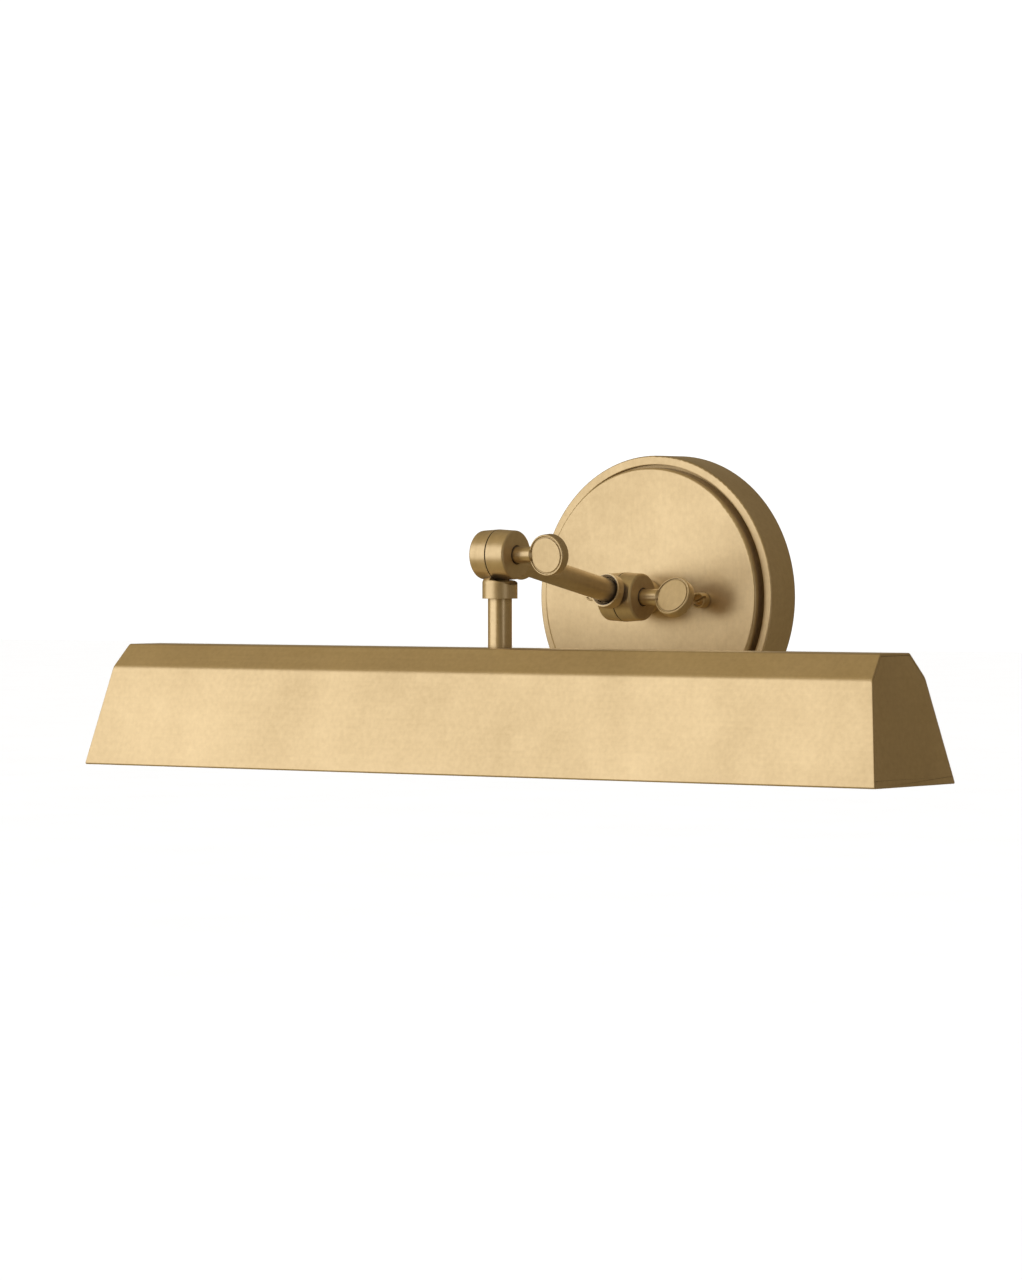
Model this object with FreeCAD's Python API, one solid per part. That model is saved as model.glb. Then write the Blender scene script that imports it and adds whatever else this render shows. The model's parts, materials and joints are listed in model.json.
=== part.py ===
"""Picture light: round wall plate, two clamped knuckles, a rising arm and a splayed trough shade."""

import FreeCAD, Part
import math
import os

# Frame: origin on the wall at the centre of the plate, +Y into the wall, +Z up, +X along the shade.

# Clearances
SLIP = 0.05                 # radial gap of a pin or thread in its hole
RUN = 0.05                  # axial gap of a face that turns against another

# Wall plate
PAN_RADIUS = 68.6
PAN_DEPTH = 20.4
PAN_WALL = 1.5
RING_WIDTH = 4.3
RING_STEP = 3.0
DISC_GAP = 1.7
DISC_PROUD = 4.8            # the disc stands this far in front of the ring
DISC_WALL = 1.2
DISC_EDGE = 1.3
DISC_RADIUS = PAN_RADIUS - RING_WIDTH - DISC_GAP
DISC_FRONT = PAN_DEPTH + DISC_PROUD
FLOOR_FRONT = PAN_DEPTH - RING_STEP
FLOOR_BACK = FLOOR_FRONT - PAN_WALL

# Knuckles: four alike castings in two pairs
THREAD_RADIUS = 4.75        # 1/8 pipe thread
TUBE_RADIUS = THREAD_RADIUS + 0.9
TUBE_BORE = THREAD_RADIUS - 1.55
STUD_RADIUS = 2.95          # steel clamp stud
SHANK_RADIUS = STUD_RADIUS + 1.0
DRUM_RADIUS = 11.95
DRUM_CROWN = 0.6            # the drum is this much slimmer at its ends
DRUM_HALF = 9.95
DRUM_EDGE = 1.2
DRUM_GAP = 0.6
SOCKET_RADIUS = TUBE_RADIUS + 0.8
COLLAR_MOUTH = SOCKET_RADIUS + 1.1
COLLAR_RADIUS = COLLAR_MOUTH + 0.7
COLLAR_SHOULDER = 3.2
SCOOP_RADIUS = max(DRUM_RADIUS + 1.95, 1.716 * COLLAR_RADIUS)
SPIGOT_END = DRUM_RADIUS + 0.45
SOCKET_FLOOR = SCOOP_RADIUS + 1.243
COLLAR_REACH = SOCKET_FLOOR + 3.1
HEAD_COLLAR_DROP = 1.9      # the stem's collar hangs this much lower than the others reach
POCKET_INNER = STUD_RADIUS + 1.95
POCKET_OUTER = DRUM_RADIUS - 3.35
POCKET_DEPTH = 5.6
LEAD_HOLE_RADIUS = 2.45
LEAD_HOLE_X = 2.9

# Arm
ARM_LENGTH = 104.0
ARM_RISE = 11.35            # degrees above level

# Thumb screws
KNOB_RADIUS = 9.7
KNOB_THICK = 5.2
KNOB_X = 28.4
KNOB_RIM = 0.75
KNOB_GROOVE = 0.85
KNOB_DEPTH = 0.5
SHANK_WELL = 1.2            # depth of the well round the shank
LOWER_KNOB_TURN = -24.0
UPPER_KNOB_TURN = 5.0

# Shade
SHADE_LENGTH = 457.2
SHADE_SPLAY = 0.181         # each end leans out this much per unit of drop
SHADE_SHEET = 1.2
SHADE_TOP_HALF = 12.1
SHADE_FOLD_HALF = 21.9
SHADE_FOOT_HALF = 33.4
SHADE_SHOULDER = 11.1
SHADE_DROP = 58.6
FOLD_BEND = 6.0
TOP_BEND = 2.2
HEM_HEIGHT = 3.2
END_SHEET = 1.5
STEM_DROP = 43.5            # upper pivot to the top of the shade

# Plate fixings
STUD_SPACING = 63.5
STUD_TURN = -2.8            # the pair of studs sits this far off level
STUD_SHIFT = 1.0            # and this far off centre
PLATE_STUD_RADIUS = 2.08
STUD_HEAD_RADIUS = 3.2
STUD_HEAD = 2.6
STUD_NUT_FLATS = 8.7
STUD_NUT = 3.2
CAP_RADIUS = 3.72
CAP_HEIGHT = 5.6
CAP_RECESS = 0.9
CAP_SLOT_WIDTH = 1.3
CAP_SLOT_DEPTH = 1.8
CAP_SLOT_TURN = 23.0
CAP_SHANK_RADIUS = 2.9
CAP_SHANK = 7.0
BAR_HEIGHT = 22.0
BAR_MARGIN = 3.2
BAR_LENGTH = 2 * (math.sqrt((PAN_RADIUS - PAN_WALL) ** 2 - BAR_HEIGHT ** 2 / 4) - BAR_MARGIN)
BAR_SHEET = 2.0
BAR_RISE = 7.5
BAR_FLAT_HALF = 38.0
BOX_SCREW_SPACING = 88.9
BOX_SLOT_RADIUS = 2.2
BOX_SLOT_LENGTH = 11.0
BAR_HOLE_RADIUS = 9.0
PIPE_NUT_FLATS = 14.0
PIPE_NUT = 3.4
WASHER = 1.0
NIPPLE_BACK = 10.6          # the nipple ends this far in front of the wall
GROUND_X = -17.0
GROUND_RADIUS = 2.4
GROUND_HEAD_RADIUS = 4.2
GROUND_HEAD = 2.2
GROUND_WIRE = 0.6

# Lamps
LAMP_DROP = 34.3            # top of the shade to the lamp axis
LAMP_SOCKET_RADIUS = 17.0
LAMP_SOCKET_LENGTH = 44.0
LAMP_SOCKET_BACK = 15.5
SCREW_SHELL_RADIUS = 14.0
SCREW_SHELL_SHEET = 0.6
BASE_RADIUS = 13.2
BULB_RADIUS = 15.9
BULB_LENGTH = 140.0
BULB_SHEET = 0.9
STRAP_HALF = 14.5
STRAP_SHEET = 1.5
STRAP_WIDTH = 16.0

# Leads
LEAD_RADIUS = 0.7
LEAD_APART = 0.78
LEAD_START = POCKET_INNER + 1.1
LEAD_STEP = DRUM_RADIUS - 2.75

V = FreeCAD.Vector
X = V(1, 0, 0)
Y = V(0, 1, 0)
Z = V(0, 0, 1)
ORIGIN = V(0, 0, 0)

ARM_ANGLE = math.radians(ARM_RISE)
LOWER_PIVOT = V(0, -DISC_FRONT - COLLAR_REACH, 0)
ARM_OUT = V(0, -math.cos(ARM_ANGLE), math.sin(ARM_ANGLE))
UPPER_PIVOT = LOWER_PIVOT + ARM_OUT * ARM_LENGTH
SHADE_Y = UPPER_PIVOT.y
SHADE_TOP = UPPER_PIVOT.z - STEM_DROP
LAMP_Z = SHADE_TOP - LAMP_DROP


def cylinder(radius, start, direction, length):
    return Part.makeCylinder(radius, length, start, direction)


def box(low, high):
    size = high - low
    return Part.makeBox(size.x, size.y, size.z, low)


def tidy(shape):
    return shape.removeSplitter()


def save(name, shape):
    shape.exportStep("parts/" + name + ".step")


def turned(points, axis_point, axis):
    """Solid of revolution of a closed outline."""
    face = Part.Face(Part.makePolygon(points + [points[0]]))
    return face.revolve(axis_point, axis, 360)


def hexagon(flats, start, direction, height, bore):
    """Hexagonal nut standing on START."""
    body = cylinder(flats / math.sqrt(3.0), start, direction, height)
    side = direction.cross(X)
    if side.Length < 0.5:
        side = direction.cross(Y)
    side.normalize()
    turn = FreeCAD.Rotation(direction, 60)
    for _ in range(6):
        corner = Part.makeBox(4 * flats, 4 * flats, 4 * flats)
        corner.translate(V(-2 * flats, -2 * flats, flats / 2.0))
        corner.Placement = FreeCAD.Placement(start, FreeCAD.Rotation(Z, side)).multiply(corner.Placement)
        body = body.cut(corner)
        side = turn.multVec(side)
    return body.cut(cylinder(bore, start - direction, direction, height + 2))


def washer(outer, inner, start, direction, height):
    ring = cylinder(outer, start, direction, height)
    return ring.cut(cylinder(inner, start - direction, direction, height + 2))


def lead(points, radius):
    """Round wire: straight runs joined by arcs as large as the shorter run beside each allows."""
    path = []
    start = points[0]
    for before, corner, after in zip(points, points[1:], points[2:]):
        back = before - corner
        ahead = after - corner
        half_turn = (math.pi - back.getAngle(ahead)) / 2.0
        reach = 0.45 * min(back.Length, ahead.Length)
        bend = reach / math.tan(half_turn)
        back.normalize()
        ahead.normalize()
        first = corner + back * reach
        last = corner + ahead * reach
        inward = back + ahead
        inward.normalize()
        middle = corner + inward * bend * (1 / math.cos(half_turn) - 1)
        path.append(Part.makeLine(start, first))
        path.append(Part.Arc(first, middle, last).toShape())
        start = last
    path.append(Part.makeLine(start, points[-1]))
    section = Part.Wire([Part.Circle(points[0], points[1] - points[0], radius).toShape()])
    return Part.Wire(path).makePipeShell([section], True, False)


# ---- knuckles

def knuckle_half(own, drop):
    """One casting on the own side of the split, X * own > 0, its collar along +Z, DROP further out."""
    start = DRUM_GAP / 2.0
    outline = [
        V(start, 0, 0),
        V(start, 0, DRUM_RADIUS),
        V(DRUM_HALF, 0, DRUM_RADIUS - DRUM_CROWN),
        V(DRUM_HALF, 0, 0),
    ]
    drum = turned(outline, ORIGIN, X)
    rims = [e for e in drum.Edges if abs(e.BoundBox.XMin - DRUM_HALF) < 0.01 and e.BoundBox.ZMax > 5]
    drum = drum.makeFillet(DRUM_EDGE, rims)
    floor = SOCKET_FLOOR + drop
    reach = COLLAR_REACH + drop
    shoulder = DRUM_RADIUS - 1.95
    collar = cylinder(COLLAR_RADIUS, V(0, 0, shoulder), Z, reach - shoulder)
    collar = collar.makeFillet(COLLAR_SHOULDER, [e for e in collar.Edges if e.BoundBox.ZMax < shoulder + 0.01])
    collar = collar.fuse(cylinder(COLLAR_RADIUS - COLLAR_SHOULDER + 0.3, ORIGIN, Z, reach))
    other = box(V(-20, -20, -20), V(start, 20, 20))
    collar = collar.cut(cylinder(SCOOP_RADIUS, V(-20, 0, 0), X, 40).common(other))
    body = drum.fuse(collar)
    body = body.cut(cylinder(SOCKET_RADIUS, V(0, 0, floor), Z, reach))
    body = body.cut(Part.makeCone(
        SOCKET_RADIUS, COLLAR_MOUTH, COLLAR_MOUTH - SOCKET_RADIUS,
        V(0, 0, reach - COLLAR_MOUTH + SOCKET_RADIUS), Z))
    body = body.cut(cylinder(THREAD_RADIUS + SLIP, V(0, 0, SPIGOT_END - SLIP), Z, reach))
    pocket = washer(POCKET_OUTER, POCKET_INNER, V(start - 1, 0, 0), X, POCKET_DEPTH + 1)
    body = body.cut(pocket)
    hole = cylinder(LEAD_HOLE_RADIUS, V(LEAD_HOLE_X, 0, POCKET_INNER + 1), Z, SPIGOT_END - POCKET_INNER)
    body = tidy(body.cut(hole))
    if own < 0:
        body.rotate(ORIGIN, Z, 180)
    return body


def screwed_half(angle, pivot, drop):
    """Far half of a knuckle, on -X, with the blind threaded hole for the clamp stud."""
    body = knuckle_half(-1, drop)
    body = body.cut(cylinder(STUD_RADIUS + SLIP, V(1, 0, 0), -X, DRUM_HALF - 0.9))
    body.rotate(ORIGIN, X, angle)
    body.translate(pivot)
    return body


def clamped_half(angle, pivot):
    """Near half of a knuckle, on +X, with the clear hole and the well round the knob's shank."""
    body = knuckle_half(1, 0)
    body = body.cut(cylinder(STUD_RADIUS + 0.3, ORIGIN, X, DRUM_HALF + 1))
    body = body.cut(cylinder(SHANK_RADIUS + 0.55, V(DRUM_HALF - SHANK_WELL, 0, 0), X, SHANK_WELL + 1))
    body.rotate(ORIGIN, X, angle)
    body.translate(pivot)
    return body


def friction_washer(pivot):
    """Thin fibre ring between the two halves, held by the near half."""
    thick = DRUM_GAP - RUN
    return washer(DRUM_RADIUS - 0.7, POCKET_OUTER, pivot + X * (DRUM_GAP / 2.0 - thick), X, thick)


def knob(pivot, turn):
    """Round paddle on edge at the end of a short shank, a groove ringing each flat face."""
    centre = V(KNOB_X, 0, 0)
    disc = cylinder(KNOB_RADIUS, centre - Y * (KNOB_THICK / 2.0), Y, KNOB_THICK)
    disc = disc.makeFillet(0.5, [e for e in disc.Edges if e.Length > KNOB_RADIUS * 5])
    shank_start = DRUM_HALF - SHANK_WELL + RUN
    shank = cylinder(SHANK_RADIUS, V(shank_start, 0, 0), X, KNOB_X - KNOB_RADIUS - shank_start + 3)
    keep = box(V(0, -KNOB_THICK / 2.0, -SHANK_RADIUS), V(KNOB_X, KNOB_THICK / 2.0, SHANK_RADIUS))
    neck_end = KNOB_X - KNOB_RADIUS + 0.9
    blend = shank.common(box(V(0, -9, -9), V(neck_end, 9, 9))).fuse(shank.common(keep))
    body = disc.fuse(blend)
    for side in (-1, 1):
        face = centre + Y * side * (KNOB_THICK / 2.0 - KNOB_DEPTH)
        outer = KNOB_RADIUS - KNOB_RIM
        body = body.cut(washer(outer, outer - KNOB_GROOVE, face, Y * side, KNOB_DEPTH + 1))
    body = body.cut(cylinder(STUD_RADIUS, V(shank_start - 1, 0, 0), X, 8))
    body = tidy(body)
    body.rotate(ORIGIN, X, turn)
    body.translate(pivot)
    return body


def clamp_stud(pivot):
    """Steel stud pressed in the knob's shank, reaching into the far half."""
    start = V(-DRUM_HALF + 2.4, 0, 0)
    end = DRUM_HALF - SHANK_WELL + RUN + 7
    body = cylinder(STUD_RADIUS, start, X, end - start.x)
    tip = [e for e in body.Edges if abs(e.BoundBox.XMax - start.x) < 0.01]
    body = body.makeChamfer(0.6, tip)
    body.translate(pivot)
    return body


# ---- wall plate

def stud_points():
    """Centres of the two plate studs, on the wall plane."""
    turn = math.radians(STUD_TURN)
    for side in (-1, 1):
        reach = side * STUD_SPACING / 2.0
        yield V(STUD_SHIFT + reach * math.cos(turn), 0, reach * math.sin(turn))


def wall_pan():
    """Deep spun pan: outer wall, flat front ring, floor set back for the disc."""
    inner = PAN_RADIUS - PAN_WALL
    ring_inner = PAN_RADIUS - RING_WIDTH
    outline = [
        V(PAN_RADIUS, 0, 0),
        V(PAN_RADIUS, -PAN_DEPTH, 0),
        V(ring_inner, -PAN_DEPTH, 0),
        V(ring_inner, -FLOOR_FRONT, 0),
        V(0, -FLOOR_FRONT, 0),
        V(0, -FLOOR_BACK, 0),
        V(ring_inner + PAN_WALL, -FLOOR_BACK, 0),
        V(ring_inner + PAN_WALL, -PAN_DEPTH + PAN_WALL, 0),
        V(inner, -PAN_DEPTH + PAN_WALL, 0),
        V(inner, 0, 0),
    ]
    body = turned(outline, ORIGIN, Y)
    corner = [e for e in body.Edges
              if abs(e.BoundBox.YMax + PAN_DEPTH) < 0.01 and e.BoundBox.XMax > PAN_RADIUS - 0.5]
    body = body.makeFillet(0.8, corner)
    body = body.cut(cylinder(THREAD_RADIUS + SLIP, V(0, -PAN_DEPTH, 0), Y, PAN_DEPTH))
    for point in stud_points():
        body = body.cut(cylinder(PLATE_STUD_RADIUS + 0.3, point - Y * PAN_DEPTH, Y, PAN_DEPTH))
    return body


def face_disc():
    """Shallow dished disc standing in the pan's recess, its edge softly rounded."""
    inner = DISC_RADIUS - DISC_WALL
    outline = [
        V(DISC_RADIUS, -FLOOR_FRONT, 0),
        V(DISC_RADIUS, -DISC_FRONT, 0),
        V(0, -DISC_FRONT, 0),
        V(0, -DISC_FRONT + DISC_WALL, 0),
        V(inner, -DISC_FRONT + DISC_WALL, 0),
        V(inner, -FLOOR_FRONT, 0),
    ]
    body = turned(outline, ORIGIN, Y)
    corner = [e for e in body.Edges
              if abs(e.BoundBox.YMax + DISC_FRONT) < 0.01 and e.BoundBox.XMax > DISC_RADIUS - 0.5]
    body = body.makeFillet(DISC_EDGE, corner)
    body = body.cut(cylinder(THREAD_RADIUS + SLIP, V(0, -DISC_FRONT - 1, 0), Y, DISC_FRONT))
    for point in stud_points():
        body = body.cut(cylinder(CAP_SHANK_RADIUS + 0.2, point - Y * (DISC_FRONT + 1), Y, DISC_FRONT))
    return body


def mounting_bracket():
    """Hat-shaped steel bar: two slotted feet on the wall, a raised middle for the studs."""
    foot = BAR_LENGTH / 2.0
    flat = BAR_FLAT_HALF
    lean = 0.6
    outline = [
        V(-foot, 0, 0),
        V(-foot, -BAR_SHEET, 0),
        V(-flat - lean, -BAR_SHEET, 0),
        V(-flat, -BAR_RISE, 0),
        V(flat, -BAR_RISE, 0),
        V(flat + lean, -BAR_SHEET, 0),
        V(foot, -BAR_SHEET, 0),
        V(foot, 0, 0),
        V(flat + lean - BAR_SHEET, 0, 0),
        V(flat - BAR_SHEET, -BAR_RISE + BAR_SHEET, 0),
        V(-flat + BAR_SHEET, -BAR_RISE + BAR_SHEET, 0),
        V(-flat - lean + BAR_SHEET, 0, 0),
    ]
    face = Part.Face(Part.makePolygon(outline + [outline[0]]))
    face.translate(V(0, 0, -BAR_HEIGHT / 2.0))
    body = face.extrude(Z * BAR_HEIGHT)
    body = body.cut(cylinder(BAR_HOLE_RADIUS, V(0, 1, 0), -Y, 2 * BAR_RISE))
    body = body.cut(cylinder(GROUND_RADIUS + SLIP, V(GROUND_X, 1, 0), -Y, 2 * BAR_RISE))
    for point in stud_points():
        body = body.cut(cylinder(PLATE_STUD_RADIUS + SLIP, point + Y, -Y, 2 * BAR_RISE))
    run = BOX_SLOT_LENGTH / 2.0 - BOX_SLOT_RADIUS
    for side in (-1, 1):
        middle = side * BOX_SCREW_SPACING / 2.0
        slot = box(V(middle - run, -5, -BOX_SLOT_RADIUS), V(middle + run, 1, BOX_SLOT_RADIUS))
        for end in (-run, run):
            slot = slot.fuse(cylinder(BOX_SLOT_RADIUS, V(middle + end, 1, 0), -Y, 6))
        body = body.cut(slot)
    return body


def bracket_studs():
    """Two long screws whose heads sit behind the raised middle of the bar."""
    studs = []
    head_back = BAR_RISE - BAR_SHEET - STUD_HEAD
    for point in stud_points():
        head = cylinder(STUD_HEAD_RADIUS, point - Y * head_back, -Y, STUD_HEAD)
        shank = cylinder(PLATE_STUD_RADIUS, point - Y * head_back, -Y, DISC_FRONT + 1.2 - head_back)
        studs.append(tidy(head.fuse(shank)))
    return Part.makeCompound(studs)


def stud_lock_nuts():
    nuts = []
    for point in stud_points():
        nuts.append(hexagon(STUD_NUT_FLATS, point - Y * BAR_RISE, -Y, STUD_NUT, PLATE_STUD_RADIUS + SLIP))
    return Part.makeCompound(nuts)


def canopy_nuts():
    """Two round slotted cap nuts on the disc's front, each with a shank down through the disc."""
    nuts = []
    slot_end = DISC_FRONT + CAP_HEIGHT
    for point in stud_points():
        base = point - Y * DISC_FRONT
        cap = cylinder(CAP_RADIUS, base, -Y, CAP_HEIGHT)
        cap = cap.fuse(cylinder(CAP_SHANK_RADIUS, base, Y, CAP_SHANK))
        front = point - Y * slot_end
        cap = cap.cut(cylinder(CAP_RADIUS - 0.6, front, Y, CAP_RECESS))
        slot = box(V(-CAP_RADIUS + 0.6, 0, -CAP_SLOT_WIDTH / 2.0),
                   V(CAP_RADIUS - 0.6, CAP_RECESS + CAP_SLOT_DEPTH, CAP_SLOT_WIDTH / 2.0))
        slot.rotate(ORIGIN, Y, -CAP_SLOT_TURN)
        slot.translate(front)
        cap = cap.cut(slot)
        depth = CAP_SHANK + 1.4
        cap = cap.cut(cylinder(PLATE_STUD_RADIUS + SLIP, base + Y * CAP_SHANK, -Y, depth))
        nuts.append(tidy(cap))
    return Part.makeCompound(nuts)


def ground_screw():
    under = -BAR_RISE - 2 * GROUND_WIRE - 0.2
    head = cylinder(GROUND_HEAD_RADIUS, V(GROUND_X, under, 0), -Y, GROUND_HEAD)
    shank = cylinder(GROUND_RADIUS, V(GROUND_X, under, 0), Y, BAR_SHEET + 2.4)
    slot = box(V(GROUND_X - 5, under - GROUND_HEAD - 1, -0.5), V(GROUND_X + 5, under - GROUND_HEAD + 0.8, 0.5))
    return tidy(head.fuse(shank).cut(slot))


def ground_lead():
    """Bare copper wire hooked round the ground screw, its tail standing up in the pan."""
    y = -BAR_RISE - GROUND_WIRE - 0.1
    reach = GROUND_RADIUS + 0.8
    hook = []
    for step in range(11):
        turn = math.radians(-250 + 25 * step)
        hook.append(V(GROUND_X + reach * math.cos(turn), y, reach * math.sin(turn)))
    hook.append(V(GROUND_X + reach, y, 34))
    return lead(hook, GROUND_WIRE)


def wall_nipple():
    """Threaded tube that ties the lower knuckle's collar to the disc and the pan."""
    front = LOWER_PIVOT + Y * SPIGOT_END
    length = -NIPPLE_BACK - front.y
    body = cylinder(THREAD_RADIUS, front, Y, length)
    return body.cut(cylinder(TUBE_BORE, front - Y, Y, length + 2))


def nipple_washer():
    return washer(THREAD_RADIUS + 3.75, THREAD_RADIUS + SLIP, V(0, -FLOOR_BACK, 0), Y, WASHER)


def nipple_nut():
    return hexagon(PIPE_NUT_FLATS, V(0, -FLOOR_BACK + WASHER, 0), Y, PIPE_NUT, THREAD_RADIUS + SLIP)


def supply_leads():
    """Two leads from the lower knuckle back through the nipple, tails up in the pan."""
    bend = 1.4 - NIPPLE_BACK
    pair = []
    for side in (-1, 1):
        across = V(0, 0, side * LEAD_APART)
        tail_x = side * 2.2
        pair.append(lead([
            LOWER_PIVOT + V(LEAD_HOLE_X, LEAD_START, 0) + across,
            LOWER_PIVOT + V(LEAD_HOLE_X, LEAD_STEP, 0) + across,
            LOWER_PIVOT + V(0, SOCKET_FLOOR, 0) + across,
            V(0, bend - 2.4, 0) + across,
            V(tail_x, bend, side * LEAD_APART + 2.2),
            V(tail_x, bend, 36 + 4 * side),
        ], LEAD_RADIUS))
    return Part.makeCompound(pair)


# ---- arm

def tube_between(start, direction, floor, reach, first_end, last_end):
    """Tube with its wall stepped down to the thread at both ends."""
    body = cylinder(TUBE_RADIUS, start + direction * floor, direction, reach - floor)
    body = body.fuse(cylinder(THREAD_RADIUS, start + direction * first_end, direction, last_end - first_end))
    body = body.cut(cylinder(TUBE_BORE, start + direction, direction, last_end + 2))
    return tidy(body)


def arm_tube():
    wide_end = ARM_LENGTH - SOCKET_FLOOR
    return tube_between(LOWER_PIVOT, ARM_OUT, SOCKET_FLOOR, wide_end, SPIGOT_END, ARM_LENGTH - SPIGOT_END)


def arm_leads():
    """Two leads through the arm, from pocket to pocket."""
    up = V(0, math.sin(ARM_ANGLE), math.cos(ARM_ANGLE))
    pair = []
    for side in (-1, 1):
        across = LOWER_PIVOT + up * side * LEAD_APART
        far = ARM_LENGTH
        pair.append(lead([
            across + ARM_OUT * LEAD_START - X * LEAD_HOLE_X,
            across + ARM_OUT * LEAD_STEP - X * LEAD_HOLE_X,
            across + ARM_OUT * SOCKET_FLOOR,
            across + ARM_OUT * (far - SOCKET_FLOOR),
            across + ARM_OUT * (far - LEAD_STEP) + X * LEAD_HOLE_X,
            across + ARM_OUT * (far - LEAD_START) + X * LEAD_HOLE_X,
        ], LEAD_RADIUS))
    return Part.makeCompound(pair)


# ---- head

def head_stem():
    floor = SOCKET_FLOOR + HEAD_COLLAR_DROP
    return tube_between(UPPER_PIVOT, -Z, floor, STEM_DROP, SPIGOT_END, STEM_DROP + 11.5)


def end_plane_cut(shape, inset):
    """Trim a long shape to the two leaning end planes, INSET inside them."""
    foot_z = SHADE_TOP - SHADE_DROP
    far = SHADE_LENGTH
    for side in (-1, 1):
        def at(z):
            return side * (SHADE_LENGTH / 2.0 - inset - SHADE_SPLAY * (z - foot_z))
        low = foot_z - 40
        high = SHADE_TOP + 40
        points = [V(at(low), 0, low), V(side * far, 0, low), V(side * far, 0, high), V(at(high), 0, high)]
        face = Part.Face(Part.makePolygon(points + [points[0]]))
        face.translate(V(0, SHADE_Y - 100, 0))
        shape = shape.cut(face.extrude(Y * 200))
    return shape


def shade_solid(inset, drop):
    """Trough-shaped block: the shade's outside moved in by INSET, DROP high."""
    shoulder_lean = math.hypot(SHADE_FOLD_HALF - SHADE_TOP_HALF, SHADE_SHOULDER)
    side_fall = SHADE_DROP - SHADE_SHOULDER
    side_lean = math.hypot(SHADE_FOOT_HALF - SHADE_FOLD_HALF, side_fall)
    shoulder_n = ((SHADE_SHOULDER) / shoulder_lean, (SHADE_FOLD_HALF - SHADE_TOP_HALF) / shoulder_lean)
    side_n = (side_fall / side_lean, (SHADE_FOOT_HALF - SHADE_FOLD_HALF) / side_lean)

    def meet(n1, d1, n2, d2):
        det = n1[0] * n2[1] - n1[1] * n2[0]
        return ((d1 * n2[1] - d2 * n1[1]) / det, (n1[0] * d2 - n2[0] * d1) / det)

    top = -inset
    shoulder_d = shoulder_n[0] * SHADE_TOP_HALF - inset
    side_d = side_n[0] * SHADE_FOOT_HALF - side_n[1] * SHADE_DROP - inset
    a = meet((0, 1), top, shoulder_n, shoulder_d)
    b = meet(shoulder_n, shoulder_d, side_n, side_d)
    c = meet(side_n, side_d, (0, 1), -drop)
    half = [a, b, c]
    far = SHADE_LENGTH / 2.0 + 20
    points = [V(-far, SHADE_Y + h, SHADE_TOP + v) for h, v in half]
    points += [V(-far, SHADE_Y - h, SHADE_TOP + v) for h, v in reversed(half)]
    body = Part.Face(Part.makePolygon(points + [points[0]])).extrude(X * 2 * far)
    folds = []
    for edge in body.Edges:
        middle = edge.CenterOfMass
        if edge.Length < 2 * far - 1:
            continue
        if abs(middle.z - SHADE_TOP - b[1]) < 0.1:
            folds.append(edge)
    body = body.makeFillet(FOLD_BEND - inset, folds)
    tops = [e for e in body.Edges
            if e.Length > 2 * far - 1 and abs(e.CenterOfMass.z - SHADE_TOP - a[1]) < 0.1
            and abs(abs(e.CenterOfMass.y - SHADE_Y) - a[0]) < 0.1]
    return body.makeFillet(max(TOP_BEND - inset, 0.3), tops)


def shade_shell():
    """Long trough of bent sheet, open below, a doubled hem along both lower edges."""
    outer = shade_solid(0, SHADE_DROP)
    body = outer.cut(shade_solid(SHADE_SHEET, SHADE_DROP + 5))
    hem = outer.cut(shade_solid(2 * SHADE_SHEET, SHADE_DROP + 5))
    foot = SHADE_TOP - SHADE_DROP
    band = box(V(-300, SHADE_Y - 60, foot - 1), V(300, SHADE_Y + 60, foot + HEM_HEIGHT))
    body = body.fuse(hem.common(band))
    body = end_plane_cut(body, 0)
    hole = cylinder(THREAD_RADIUS + SLIP, V(0, SHADE_Y, SHADE_TOP + 1), -Z, 4)
    return tidy(body.cut(hole))


def shade_end(side):
    """Flat end plate let into the open end of the trough, flush with its edge."""
    foot = SHADE_TOP - SHADE_DROP
    body = shade_solid(SHADE_SHEET + 0.02, SHADE_DROP)
    band = box(V(-300, SHADE_Y - 60, foot - 1), V(300, SHADE_Y + 60, foot + HEM_HEIGHT))
    body = body.cut(band).fuse(shade_solid(2 * SHADE_SHEET + 0.02, SHADE_DROP).common(band))
    outer = end_plane_cut(body, 0)
    inner = end_plane_cut(body, END_SHEET)
    both = outer.cut(inner)
    keep = box(V(0, SHADE_Y - 60, foot - 1), V(300, SHADE_Y + 60, SHADE_TOP + 1))
    if side < 0:
        keep.rotate(V(0, SHADE_Y, 0), Z, 180)
    return tidy(both.common(keep))


def socket_bracket():
    """Inverted U of steel strip under the top of the shade, a leg for each lamp socket."""
    top = SHADE_TOP - SHADE_SHEET
    low = LAMP_Z - 9.0
    half = STRAP_WIDTH / 2.0
    body = box(V(-STRAP_HALF, SHADE_Y - half, low), V(STRAP_HALF, SHADE_Y + half, top))
    inner = STRAP_HALF - STRAP_SHEET
    body = body.cut(box(V(-inner, SHADE_Y - 20, low - 1), V(inner, SHADE_Y + 20, top - STRAP_SHEET)))
    body = body.cut(cylinder(THREAD_RADIUS + SLIP, V(0, SHADE_Y, top + 1), -Z, 5))
    return body.cut(cylinder(THREAD_RADIUS + SLIP, V(-20, SHADE_Y, LAMP_Z), X, 40))


def stem_washer():
    top = SHADE_TOP - SHADE_SHEET - STRAP_SHEET
    return washer(THREAD_RADIUS + 3.05, THREAD_RADIUS + SLIP, V(0, SHADE_Y, top), -Z, WASHER)


def stem_nut():
    top = SHADE_TOP - SHADE_SHEET - STRAP_SHEET - WASHER
    return hexagon(PIPE_NUT_FLATS, V(0, SHADE_Y, top), -Z, PIPE_NUT, THREAD_RADIUS + SLIP)


def lamp_place(shape, side):
    """Stand a shape made along +X on the lamp axis of one side."""
    if side < 0:
        shape.rotate(ORIGIN, Z, 180)
    shape.translate(V(0, SHADE_Y, LAMP_Z))
    return shape


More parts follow.
